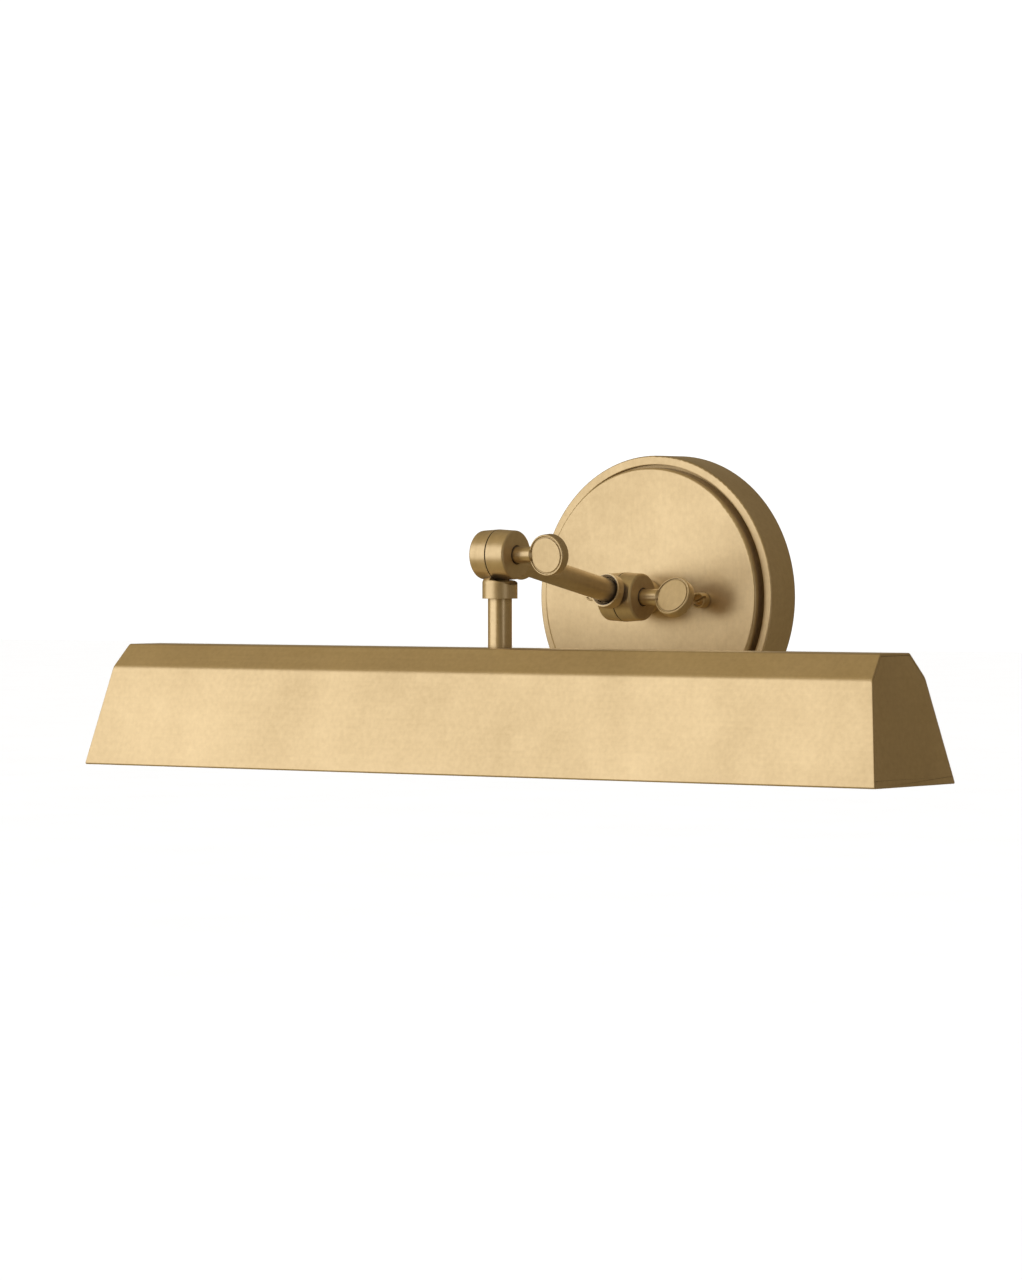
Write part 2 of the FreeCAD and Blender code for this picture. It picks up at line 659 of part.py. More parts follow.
def lamp_socket(side):
    """Moulded lamp holder: closed back, open front, hollow threaded boss through the bracket leg."""
    back = STRAP_HALF
    body = cylinder(LAMP_SOCKET_RADIUS, V(back, 0, 0), X, LAMP_SOCKET_LENGTH)
    rims = [e for e in body.Edges if e.Length > LAMP_SOCKET_RADIUS * 5]
    body = body.makeFillet(1.2, rims)
    well = V(back + LAMP_SOCKET_BACK, 0, 0)
    body = body.cut(cylinder(SCREW_SHELL_RADIUS + 0.02, well, X, LAMP_SOCKET_LENGTH))
    body = body.fuse(cylinder(THREAD_RADIUS, V(back - 6, 0, 0), X, 8))
    body = body.cut(cylinder(2.6, V(back - 7, 0, 0), X, 16))
    return lamp_place(tidy(body), side)


def socket_nuts():
    nuts = []
    for side in (-1, 1):
        start = V(STRAP_HALF - STRAP_SHEET, 0, 0)
        nuts.append(lamp_place(hexagon(PIPE_NUT_FLATS, start, -X, PIPE_NUT, THREAD_RADIUS + SLIP), side))
    return Part.makeCompound(nuts)


def screw_shell(side):
    """Thin brass cup lining the lamp holder."""
    start = V(STRAP_HALF + LAMP_SOCKET_BACK, 0, 0)
    body = cylinder(SCREW_SHELL_RADIUS, start, X, 25.0)
    body = body.cut(cylinder(SCREW_SHELL_RADIUS - SCREW_SHELL_SHEET, start + X * SCREW_SHELL_SHEET, X, 30))
    return lamp_place(body, side)


def bulb_base(side):
    """Screw cap of the bulb with its centre contact."""
    start = STRAP_HALF + LAMP_SOCKET_BACK + SCREW_SHELL_SHEET
    outline = [
        V(start, 0, 0),
        V(start, 0, 4.5),
        V(start + 1.2, 0, 4.5),
        V(start + 4.0, 0, 9.0),
        V(start + 5.0, 0, BASE_RADIUS),
        V(start + 26.0, 0, BASE_RADIUS),
        V(start + 26.0, 0, BASE_RADIUS - 0.5),
        V(start + 6.0, 0, BASE_RADIUS - 0.5),
        V(start + 6.0, 0, 0),
    ]
    return lamp_place(turned(outline, ORIGIN, X), side)


def bulb_glass(side):
    """Tubular glass envelope, open at the neck inside the cap, domed at the far end."""
    start = STRAP_HALF + LAMP_SOCKET_BACK + SCREW_SHELL_SHEET
    neck = BASE_RADIUS - 0.55
    centre = start + BULB_LENGTH - BULB_RADIUS
    inset = BULB_SHEET
    inner = BULB_RADIUS - inset
    diagonal = math.sqrt(0.5)
    mouth = V(start + 18, 0, neck)
    waist = V(start + 27, 0, neck)
    swell = V(start + 36, 0, BULB_RADIUS)
    flat = V(centre, 0, BULB_RADIUS)
    bend = V(centre + BULB_RADIUS * diagonal, 0, BULB_RADIUS * diagonal)
    tip = V(centre + BULB_RADIUS, 0, 0)
    inner_tip = V(centre + inner, 0, 0)
    inner_bend = V(centre + inner * diagonal, 0, inner * diagonal)
    inner_flat = V(centre, 0, inner)
    inner_swell = V(start + 36, 0, inner)
    inner_waist = V(start + 27, 0, neck - inset)
    inner_mouth = V(start + 18, 0, neck - inset)
    wire = Part.Wire([
        Part.makeLine(mouth, waist),
        Part.makeLine(waist, swell),
        Part.makeLine(swell, flat),
        Part.Arc(flat, bend, tip).toShape(),
        Part.makeLine(tip, inner_tip),
        Part.Arc(inner_tip, inner_bend, inner_flat).toShape(),
        Part.makeLine(inner_flat, inner_swell),
        Part.makeLine(inner_swell, inner_waist),
        Part.makeLine(inner_waist, inner_mouth),
        Part.makeLine(inner_mouth, mouth),
    ])
    return lamp_place(Part.Face(wire).revolve(ORIGIN, X, 360), side)


def head_leads():
    """Two leads down the stem, one on to each lamp holder."""
    pair = []
    exit_z = UPPER_PIVOT.z - STEM_DROP - 14.0
    for side in (-1, 1):
        across = V(0, side * LEAD_APART, 0)
        top = UPPER_PIVOT + across
        pair.append(lead([
            top - Z * LEAD_START - X * LEAD_HOLE_X,
            top - Z * LEAD_STEP - X * LEAD_HOLE_X,
            top - Z * SOCKET_FLOOR,
            V(0, SHADE_Y + side * LEAD_APART, exit_z),
            V(side * 4.5, SHADE_Y, LAMP_Z + 6),
            V(side * 5.5, SHADE_Y, LAMP_Z),
            V(side * (STRAP_HALF + 8), SHADE_Y, LAMP_Z),
        ], LEAD_RADIUS))
    return Part.makeCompound(pair)


def main():
    os.makedirs("parts", exist_ok=True)
    back = -90
    out = 90 - ARM_RISE
    save("wall_pan", wall_pan())
    save("face_disc", face_disc())
    save("mounting_bracket", mounting_bracket())
    save("bracket_studs", bracket_studs())
    save("stud_lock_nuts", stud_lock_nuts())
    save("canopy_nuts", canopy_nuts())
    save("ground_screw", ground_screw())
    save("ground_lead", ground_lead())
    save("wall_nipple", wall_nipple())
    save("nipple_washer", nipple_washer())
    save("nipple_nut", nipple_nut())
    save("supply_leads", supply_leads())
    save("wall_knuckle", clamped_half(back, LOWER_PIVOT))
    save("lower_friction_washer", friction_washer(LOWER_PIVOT))
    save("arm_lower_knuckle", screwed_half(out, LOWER_PIVOT, 0))
    save("arm_tube", arm_tube())
    save("arm_upper_knuckle", clamped_half(out + 180, UPPER_PIVOT))
    save("upper_friction_washer", friction_washer(UPPER_PIVOT))
    save("arm_leads", arm_leads())
    save("lower_knob", knob(LOWER_PIVOT, LOWER_KNOB_TURN))
    save("lower_clamp_stud", clamp_stud(LOWER_PIVOT))
    save("upper_knob", knob(UPPER_PIVOT, UPPER_KNOB_TURN))
    save("upper_clamp_stud", clamp_stud(UPPER_PIVOT))
    save("head_knuckle", screwed_half(180, UPPER_PIVOT, HEAD_COLLAR_DROP))
    save("head_stem", head_stem())
    save("stem_washer", stem_washer())
    save("stem_nut", stem_nut())
    save("shade_shell", shade_shell())
    save("socket_bracket", socket_bracket())
    save("socket_nuts", socket_nuts())
    save("head_leads", head_leads())
    for word, side in (("left", -1), ("right", 1)):
        save("shade_end_" + word, shade_end(side))
        save("socket_" + word, lamp_socket(side))
        save("screw_shell_" + word, screw_shell(side))
        save("bulb_base_" + word, bulb_base(side))
        save("bulb_glass_" + word, bulb_glass(side))


main()
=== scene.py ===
import json
import math

import bmesh
import bpy
from mathutils import Matrix, Vector


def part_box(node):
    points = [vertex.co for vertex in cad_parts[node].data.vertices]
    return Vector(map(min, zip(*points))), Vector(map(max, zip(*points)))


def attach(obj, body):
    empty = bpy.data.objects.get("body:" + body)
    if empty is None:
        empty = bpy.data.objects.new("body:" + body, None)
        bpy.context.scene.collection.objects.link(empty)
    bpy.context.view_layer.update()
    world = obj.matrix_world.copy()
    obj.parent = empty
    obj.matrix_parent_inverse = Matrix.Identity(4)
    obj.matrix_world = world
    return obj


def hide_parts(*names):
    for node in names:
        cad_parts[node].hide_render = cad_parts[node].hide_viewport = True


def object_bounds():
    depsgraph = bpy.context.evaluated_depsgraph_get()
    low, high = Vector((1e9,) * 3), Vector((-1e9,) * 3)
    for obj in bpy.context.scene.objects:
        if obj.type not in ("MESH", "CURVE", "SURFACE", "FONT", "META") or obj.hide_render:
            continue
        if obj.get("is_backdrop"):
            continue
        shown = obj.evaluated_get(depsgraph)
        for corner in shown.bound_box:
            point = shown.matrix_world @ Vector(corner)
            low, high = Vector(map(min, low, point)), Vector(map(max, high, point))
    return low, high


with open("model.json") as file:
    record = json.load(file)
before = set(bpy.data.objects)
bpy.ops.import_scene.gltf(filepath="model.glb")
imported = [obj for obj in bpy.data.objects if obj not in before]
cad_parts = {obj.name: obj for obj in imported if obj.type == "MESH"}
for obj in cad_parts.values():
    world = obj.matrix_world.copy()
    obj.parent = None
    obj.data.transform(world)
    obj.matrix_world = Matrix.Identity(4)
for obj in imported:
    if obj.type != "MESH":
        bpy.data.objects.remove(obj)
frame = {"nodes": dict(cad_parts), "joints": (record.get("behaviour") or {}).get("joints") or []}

loaded_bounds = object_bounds()
nodes = frame["nodes"]
pivot = {joint["name"]: Vector(joint["pos_m"]) for joint in frame["joints"]}
MM = 0.001

# Mounting bracket: a hat-shaped bar, punched and folded from zinc-plated steel sheet. It is screwed
# to the electrical box and carries all the rest; the lamp bracket in the shade is made the same way.


class Socket:
    """A shader socket; arithmetic on it adds Math nodes to its tree."""

    def __init__(self, tree, socket=None):
        self.tree = tree
        self.socket = socket

    def node(self, kind, settings=None, out=0, **inputs):
        """Add a node: settings first, then sockets by name, or s0, s1... by number; give output OUT."""
        made = self.tree.nodes.new(kind)
        for key, value in (settings or {}).items():
            setattr(made, key, value)
        for key, value in inputs.items():
            numbered = key[0] == "s" and key[1:].isdigit()
            target = made.inputs[int(key[1:])] if numbered else made.inputs[key.replace("_", " ")]
            if isinstance(value, Socket):
                self.tree.links.new(value.socket, target)
            else:
                target.default_value = value
        return Socket(self.tree, made.outputs[out])

    def math(self, operation, first, second, clamp=False):
        return self.node("ShaderNodeMath", {"operation": operation, "use_clamp": clamp}, s0=first, s1=second)

    def __add__(self, other):
        return self.math("ADD", self, other)

    def __radd__(self, other):
        return self.math("ADD", other, self)

    def __sub__(self, other):
        return self.math("SUBTRACT", self, other)

    def __rsub__(self, other):
        return self.math("SUBTRACT", other, self)

    def __mul__(self, other):
        return self.math("MULTIPLY", self, other)

    def __rmul__(self, other):
        return self.math("MULTIPLY", other, self)

    def __pow__(self, other):
        return self.math("POWER", self, other)


def new_material(name, **fixed):
    """Material whose even values are set on the shader's own sockets, and a start for its nodes."""
    made = bpy.data.materials.new(name)
    made.use_nodes = True
    shader = made.node_tree.nodes["Principled BSDF"]
    for key, value in fixed.items():
        shader.inputs[key.replace("_", " ")].default_value = value
    return made, Socket(made.node_tree)


def feed(made, **links):
    """Link what changes over the surface into the shader."""
    shader = made.node_tree.nodes["Principled BSDF"]
    for key, value in links.items():
        made.node_tree.links.new(value.socket, shader.inputs[key.replace("_", " ")])
    return made


def grain(start, scale, detail=3.0, stretch=(1, 1, 1), shift=0.0):
    """Noise fixed to the piece, finer with SCALE and drawn out along an axis by a small STRETCH."""
    place = start.node("ShaderNodeTexCoord", out=3)
    place = start.node("ShaderNodeVectorMath", {"operation": "MULTIPLY"}, s0=place, s1=stretch)
    aside = (shift, 0.7 * shift, 1.3 * shift)
    place = start.node("ShaderNodeVectorMath", {"operation": "ADD"}, s0=place, s1=aside)
    return start.node("ShaderNodeTexNoise", Vector=place, Scale=scale, Detail=detail, Roughness=0.55)


def mix(start, factor, first, second):
    """Colour between FIRST and SECOND."""
    ends = [value if isinstance(value, Socket) else (*value, 1.0) for value in (first, second)]
    return start.node("ShaderNodeMix", {"data_type": "RGBA"}, out=2, s0=factor, s6=ends[0], s7=ends[1])


def mottled(name, dark, light, scale, rough, rough_spread, bump, stretch=(1, 1, 1), **fixed):
    """Plain finish with a mottle of two tones, a little uneven in gloss and surface."""
    made, start = new_material(name, **fixed)
    broad = grain(start, scale, 3.0, shift=3.0)
    fine = grain(start, 7.0 * scale, 3.0, stretch, 9.0)
    tone = start.math("MULTIPLY", broad * 1.3 + fine * 0.7 - 0.5, 1.0, clamp=True)
    raised = start.node("ShaderNodeBump", Strength=bump, Distance=0.0002, Height=fine)
    roughness = rough + (fine - 0.5) * rough_spread
    return feed(made, Base_Color=mix(start, tone, dark, light), Roughness=roughness, Normal=raised)


def dress(finish, *names):
    """Give frame nodes a finish."""
    for name in names:
        nodes[name].data.materials.clear()
        nodes[name].data.materials.append(finish)


ZINC_DARK = (0.48, 0.48, 0.45)
ZINC_LIGHT = (0.68, 0.68, 0.69)
zinc = mottled("zinc_steel", ZINC_DARK, ZINC_LIGHT, 130, 0.34, 0.22, 0.15, (1, 1, 0.15), Metallic=1.0)
dress(zinc, "mounting_bracket", "socket_bracket")

# Bracket studs: two long machine screws, upset and thread-rolled from steel wire and zinc plated.
# Their slotted heads sit behind the bar's raised middle; they reach forward through pan and disc.


def link(name, mesh, finish):
    """Make an object of a mesh, in its finish."""
    piece = bpy.data.objects.new(name, mesh)
    bpy.context.scene.collection.objects.link(piece)
    mesh.materials.append(finish)
    return piece


def loft(name, rows, finish, ring=False, crease=32.0):
    """Skin over ROWS of points, each row a closed loop or one point; RING joins the last row to the first."""
    points = [point for row in rows for point in row]
    first = []
    count = 0
    for row in rows:
        first.append(count)
        count += len(row)
    faces = []
    pairs = list(zip(range(len(rows)), range(1, len(rows))))
    if ring:
        pairs.append((len(rows) - 1, 0))
    for a, b in pairs:
        n = max(len(rows[a]), len(rows[b]))
        for k in range(n):
            here = [first[a] + k, first[a] + (k + 1) % n] if len(rows[a]) > 1 else [first[a]]
            there = [first[b] + (k + 1) % n, first[b] + k] if len(rows[b]) > 1 else [first[b]]
            faces.append(here + there)
    if not ring:
        for row, start in ((rows[0], first[0]), (rows[-1], first[-1])):
            if len(row) > 1:
                faces.append(list(range(start, start + len(row))))
    mesh = bpy.data.meshes.new(name)
    mesh.from_pydata(points, [], faces)
    shape = bmesh.new()
    shape.from_mesh(mesh)
    bmesh.ops.recalc_face_normals(shape, faces=shape.faces)
    shape.to_mesh(mesh)
    shape.free()
    mesh.shade_smooth()
    mesh.set_sharp_from_angle(angle=math.radians(crease))
    return link(name, mesh, finish)


def soften(outline, closed=True, steps=5):
    """Outline of (x, y, r) corners in mm, each rounded to its r; no corner may lie in line."""
    corners = [(Vector((x, y)), r) for x, y, r in outline]
    made = []
    for k, (corner, r) in enumerate(corners):
        inner = closed or 0 < k < len(corners) - 1
        if r <= 0 or not inner:
            made.append(corner)
            continue
        back = (corners[k - 1][0] - corner).normalized()
        ahead = (corners[(k + 1) % len(corners)][0] - corner).normalized()
        half = back.angle(ahead) / 2
        centre = corner + (back + ahead).normalized() * r / math.sin(half)
        one = corner + back * r / math.tan(half) - centre
        two = corner + ahead * r / math.tan(half) - centre
        for step in range(steps + 1):
            made.append(centre + one.slerp(two, step / steps) * r)
    return [(point.x, point.y) for point in made]


def spun(name, outline, start, axis, finish, steps=64, crease=32.0):
    """Turned piece: OUTLINE of (along, radius, form) in mm from START; FORM bends the radius by angle."""
    axis = Vector(axis).normalized()
    side = axis.orthogonal().normalized()
    other = axis.cross(side)
    rows = []
    for along, radius, *form in outline:
        centre = Vector(start) + axis * along * MM
        if radius < 0.001:
            rows.append([centre])
            continue
        row = []
        for k in range(steps):
            angle = 2 * math.pi * k / steps
            reach = (form[0](angle, along, radius) if form else radius) * MM
            row.append(centre + side * reach * math.cos(angle) + other * reach * math.sin(angle))
        rows.append(row)
    return loft(name, rows, finish, ring=len(rows[0]) > 1 and len(rows[-1]) > 1, crease=crease)


def threads(low, high, radius, pitch, depth, per_turn=6):
    """Rings of a screw thread from LOW to HIGH, its crests at RADIUS, for spun."""
    def helix(angle, along, crest):
        return crest - depth * (0.5 - 0.5 * math.cos(2 * math.pi * along / pitch - angle))
    count = max(2, round(abs(high - low) / pitch * per_turn))
    return [(low + (high - low) * k / count, radius, helix) for k in range(count + 1)]


def fit(piece, body, slot, *replaced):
    """Hang a piece on its body, flats shaded flat up to their rounded edges."""
    flats = piece.modifiers.new("flats", "WEIGHTED_NORMAL")
    flats.keep_sharp = True
    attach(piece, body)
    if replaced:
        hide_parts(*replaced)
    return piece


SHARP = math.radians(32)


def join(first, second, operation="UNION"):
    """Unite FIRST with SECOND, or cut SECOND away, and drop SECOND."""
    cut = first.modifiers.new("join", "BOOLEAN")
    cut.operation = operation
    cut.solver = "EXACT"
    cut.object = second
    bpy.context.view_layer.update()
    done = bpy.data.meshes.new_from_object(first.evaluated_get(bpy.context.evaluated_depsgraph_get()))
    first.modifiers.clear()
    first.data = done
    bpy.data.objects.remove(second)
    done.set_sharp_from_angle(angle=SHARP)
    return first


def gather(name, pieces):
    """Several like pieces as one object."""
    shape = bmesh.new()
    for piece in pieces:
        shape.from_mesh(piece.data)
    finish = pieces[0].data.materials[0]
    mesh = bpy.data.meshes.new(name)
    shape.to_mesh(mesh)
    shape.free()
    for piece in pieces:
        bpy.data.objects.remove(piece)
    return link(name, mesh, finish)


def twin_places(node, radius):
    """Axes of the two round pieces in NODE, from its box: the left one is the higher."""
    low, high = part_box(node)
    r = radius * MM
    return [Vector((low.x + r, 0, high.z - r)), Vector((high.x - r, 0, low.z + r))]


def driver_slot(face, inward, half_width, half_length, depth, finish):
    """Bar to cut a driver slot DEPTH mm into a head; FACE is the middle of the head, INWARD its way in."""
    rows = []
    for along in (-1, depth):
        centre = Vector(face) + Vector(inward) * along * MM
        rows.append([centre + Vector((x * half_length, 0, z * half_width)) * MM
                     for x, z in ((-1, -1), (1, -1), (1, 1), (-1, 1))])
    return loft("slot", rows, finish)


FORWARD = (0, -1, 0)
BACKWARD = (0, 1, 0)
STUD_RADIUS = 2.08
STUD_PITCH = 0.79
HEAD_RADIUS = 3.2
HEAD_DEPTH = 2.6
low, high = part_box("bracket_studs")
stud_length = (high.y - low.y) / MM
made = []
for place in twin_places("bracket_studs", HEAD_RADIUS):
    face = (place.x, high.y, place.z)
    head = [(0, 0), (0, HEAD_RADIUS - 0.7), (0.7, HEAD_RADIUS), (HEAD_DEPTH - 0.2, HEAD_RADIUS)]
    shank = [(HEAD_DEPTH, HEAD_RADIUS - 0.2), (HEAD_DEPTH, STUD_RADIUS)]
    shank += threads(HEAD_DEPTH + 0.3, stud_length - 0.6, STUD_RADIUS, STUD_PITCH, 0.42)
    tip = [(stud_length, STUD_RADIUS - 0.6), (stud_length, 0)]
    stud = spun("stud", head + shank + tip, face, FORWARD, zinc, 32)
    made.append(join(stud, driver_slot(face, FORWARD, 0.5, 4, 1.1, zinc), "DIFFERENCE"))
fit(gather("bracket_stud_pair", made), "base", "zinc_steel", "bracket_studs")

# Nuts: steel hexagons chamfered on both faces, zinc plated. Two small ones lock the studs; the
# large ones hold the nipple, the stem and the two lamp holders.


def hex_nut(name, flats, height, bore, start, axis):
    """A nut FLATS mm wide and HEIGHT mm thick, from START along AXIS."""
    def hexagonal(angle, along, radius):
        turn = (angle + math.pi / 6) % (math.pi / 3) - math.pi / 6
        return min(radius, flats / 2 / math.cos(turn))
    face = flats / 2 - 0.15
    corner = flats / math.sqrt(3)
    rise = 0.14 * height
    outline = [(0, face)]
    for k in range(1, 5):
        outline.append((rise * k / 4, face + (corner - face) * k / 4, hexagonal))
    for k in range(4, 0, -1):
        outline.append((height - rise * k / 4, face + (corner - face) * k / 4, hexagonal))
    outline += [(height, face), (height, bore + 0.4), (height - 0.4, bore), (0.4, bore), (0, bore + 0.4)]
    return spun(name, outline, start, axis, zinc, 72, 24.0)


def boxed_nut(name, node, body, flats, bore, axis):
    """A nut that fills the box of its node."""
    low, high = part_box(node)
    centre = (low + high) / 2
    axis = Vector(axis)
    height = abs((high - low).dot(axis)) / MM
    start = centre - axis * height * MM / 2
    return fit(hex_nut(name, flats, height, bore, start, axis), body, "zinc_steel", node)


PIPE_RADIUS = 4.75
PIPE_NUT_FLATS = 14.0
STUD_NUT_FLATS = 8.7
NUT_PLAY = 0.03
pipe_hole = PIPE_RADIUS + NUT_PLAY
low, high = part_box("stud_lock_nuts")
height = (high.y - low.y) / MM
made = []
for place in twin_places("bracket_studs", HEAD_RADIUS):
    seat = (place.x, high.y, place.z)
    made.append(hex_nut("nut", STUD_NUT_FLATS, height, STUD_RADIUS + NUT_PLAY, seat, FORWARD))
fit(gather("stud_nut_pair", made), "base", "zinc_steel", "stud_lock_nuts")
boxed_nut("nipple_hex_nut", "nipple_nut", "base", PIPE_NUT_FLATS, pipe_hole, BACKWARD)
boxed_nut("stem_hex_nut", "stem_nut", "head", PIPE_NUT_FLATS, pipe_hole, (0, 0, 1))
HOLDER_NUT = 3.4
low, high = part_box("socket_nuts")
centre = (low + high) / 2
made = []
for side in (-1, 1):
    seat = (high.x if side > 0 else low.x, centre.y, centre.z)
    made.append(hex_nut("nut", PIPE_NUT_FLATS, HOLDER_NUT, pipe_hole, seat, (-side, 0, 0)))
fit(gather("socket_nut_pair", made), "head", "zinc_steel", "socket_nuts")

# Washers: flat steel rings under the nuts of the nipple and the stem, zinc plated. They are blanked
# from sheet, and the die leaves one outer edge rolled over.


def flat_washer(name, node, body, bore, axis):
    """A washer that fills the box of its node, its rolled edge at the end of AXIS."""
    low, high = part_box(node)
    size = high - low
    axis = Vector(axis)
    thick = abs(size.dot(axis)) / MM
    outer = max(size) / MM / 2
    outline = soften([(0, outer, 0.15), (thick, outer, 0.4), (thick, bore, 0.2), (0, bore, 0.1)], steps=3)
    start = (low + high) / 2 - axis * thick * MM / 2
    return fit(spun(name, outline, start, axis, zinc), body, "zinc_steel", node)


PIPE_PLAY = 0.05
flat_washer("nipple_flat_washer", "nipple_washer", "base", PIPE_RADIUS + PIPE_PLAY, BACKWARD)
flat_washer("stem_flat_washer", "stem_washer", "head", PIPE_RADIUS + PIPE_PLAY, (0, 0, -1))

# Nipple: a short steel tube threaded along its length and zinc plated, which ties the lower knuckle
# to the disc, the pan and the bar. The leads pass through it.
TUBE_BORE = 3.2
PIPE_PITCH = 0.94
low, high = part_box("wall_nipple")
length = (high.y - low.y) / MM
outline = [(0, PIPE_RADIUS - 0.4)] + threads(0.4, length - 0.4, PIPE_RADIUS, PIPE_PITCH, 0.5)
outline += [(length, PIPE_RADIUS - 0.4), (length, TUBE_BORE + 0.2), (length - 0.3, TUBE_BORE)]
outline += [(0.3, TUBE_BORE), (0, TUBE_BORE + 0.2)]
nipple = spun("threaded_nipple", outline, (0, low.y, 0), BACKWARD, zinc, 48)
fit(nipple, "base", "zinc_steel", "wall_nipple")

# Ground screw and wire: a slotted steel screw, dyed green, in a tapped hole of the bar, and a bare
# copper wire hooked under its head.
COPPER_DARK = (0.52, 0.22, 0.11)
COPPER_LIGHT = (0.86, 0.44, 0.26)
green = mottled("green_screw", (0.010, 0.12, 0.035), (0.03, 0.24, 0.08), 300, 0.38, 0.2, 0.1, Metallic=0.7)
copper = mottled("copper", COPPER_DARK, COPPER_LIGHT, 220, 0.34, 0.25, 0.1, (1, 1, 0.1), Metallic=1.0)
dress(copper, "ground_lead")
GROUND_RADIUS = 2.4
GROUND_HEAD = 2.2
low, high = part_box("ground_screw")
centre = (low + high) / 2
length = (high.y - low.y) / MM
head = (high.x - low.x) / MM / 2
outline = [(0, 0), (0, head - 0.9), (0.5, head - 0.2), (1.0, head), (GROUND_HEAD - 0.2, head)]
outline += [(GROUND_HEAD, head - 0.2), (GROUND_HEAD, GROUND_RADIUS)]
outline += threads(GROUND_HEAD + 0.3, length - 0.5, GROUND_RADIUS, STUD_PITCH, 0.4)
outline += [(length, GROUND_RADIUS - 0.5), (length, 0)]
face = (centre.x, low.y, centre.z)
screw = spun("slotted_ground_screw", outline, face, BACKWARD, green, 40)
slot = driver_slot((centre.x, low.y, 0), BACKWARD, 0.5, 5, 0.9, green)
fit(join(screw, slot, "DIFFERENCE"), "base", "green_screw", "ground_screw")

# Leads: stranded copper in thin black plastic sleeves, pulled through the tubes in short runs from
# the hollow of one knuckle to the next.
sleeve = mottled("lead_sleeve", (0.010, 0.010, 0.011), (0.030, 0.030, 0.032), 400, 0.42, 0.15, 0.05)
dress(sleeve, "supply_leads", "arm_leads", "head_leads")

# Pan: a deep cup spun from brass sheet, a flat ring left round its recess, pulled to the wall by the
# studs. All the brass is brushed, darkened and lacquered. Its edges are painted brighter, partly rubbed
# wear and partly a painted highlight, and its corners painted darker, partly patina and partly painted shade.
BRASS_DARK = (0.53, 0.418, 0.258)
BRASS_LIGHT = (0.86, 0.715, 0.485)
BRASS_WORN_HIGHLIGHT = (1.0, 0.9, 0.7)
BRASS_PATINA_SHADE = (0.15, 0.095, 0.04)


def aged_brass(name, stretch, brush=1.0, rough=0.34, band=0.0, cloud=1.0, shift=0.0, wear_and_highlight_width=0.35, shade=3.0):
    """Brass brushed along the short side of STRETCH, under a cloudy dark patina; BAND adds the rings of
    turning about X. The next to last argument is the width of its brighter edges, rubbed wear and partly a
    painted highlight; SHADE is that of its darker corners, patina and partly painted shade, in mm."""
    made, start = new_material(name, Metallic=1.0)
    broad = grain(start, 16.0, 1.5, (1, 1, 0.7), shift)
    patch = grain(start, 55.0, 3.0, shift=shift + 3)
    fine = grain(start, 420.0, 2.0, shift=shift + 5)
    streak = grain(start, 620.0, 3.0, stretch, shift + 7)
    rings = grain(start, 260.0, 2.0, (1, 0.001, 0.001), shift + 9)
    tone = 0.52 + (broad - 0.5) * 0.95 * cloud + (patch - 0.5) * 0.2 * cloud + (fine - 0.5) * 0.45
    tone = tone + (streak - 0.5) * 0.45 * brush + (rings - 0.5) * band
    tone = start.math("ADD", tone, 0.0, clamp=True)
    colour = mix(start, tone, BRASS_DARK, BRASS_LIGHT)
    flat = start.node("ShaderNodeNewGeometry", out=1)
    rounded = start.node("ShaderNodeBevel", {"samples": 6}, Radius=wear_and_highlight_width * MM)
    alike = start.node("ShaderNodeVectorMath", {"operation": "DOT_PRODUCT"}, out=1, s0=flat, s1=rounded)
    # Edges lightened towards pale brass: rubbed wear, and partly a painted highlight along rounded edges.
    edge = start.math("MULTIPLY", 1.0 - alike, 7.0, clamp=True)
    colour = mix(start, edge * 0.6, colour, BRASS_WORN_HIGHLIGHT)
    # Hollows and gaps darkened by ambient occlusion: partly patina, partly painted shade.
    shelter = start.node("ShaderNodeAmbientOcclusion", {"samples": 8}, out=1, Distance=shade * MM)
    patina_and_shade = start.math("MULTIPLY", (1.0 - shelter) ** 1.5, 1.3, clamp=True)
    colour = mix(start, patina_and_shade * 0.7, colour, BRASS_PATINA_SHADE)
    height = (streak - 0.5) * 0.6 * brush + (fine - 0.5) * 0.3 + (rings - 0.5) * band
    bump = start.node("ShaderNodeBump", Strength=0.14, Distance=0.0003, Height=height, Normal=rounded)
    roughness = rough + (0.5 - patch) * 0.12 + (streak - 0.5) * 0.10 * brush + patina_and_shade * 0.2
    return feed(made, Base_Color=colour, Roughness=roughness, Normal=bump)


brass_plate = aged_brass("brass_plate", (1.0, 1.0, 0.12), 0.45, wear_and_highlight_width=0.6, shade=2.0)
dress(brass_plate, "wall_pan")

# Disc: a shallow cup pressed from brass sheet, its edge rolled over softly. It stands in the pan's
# recess, held by the lower knuckle in the middle and by the two cap nuts.
dress(brass_plate, "face_disc")

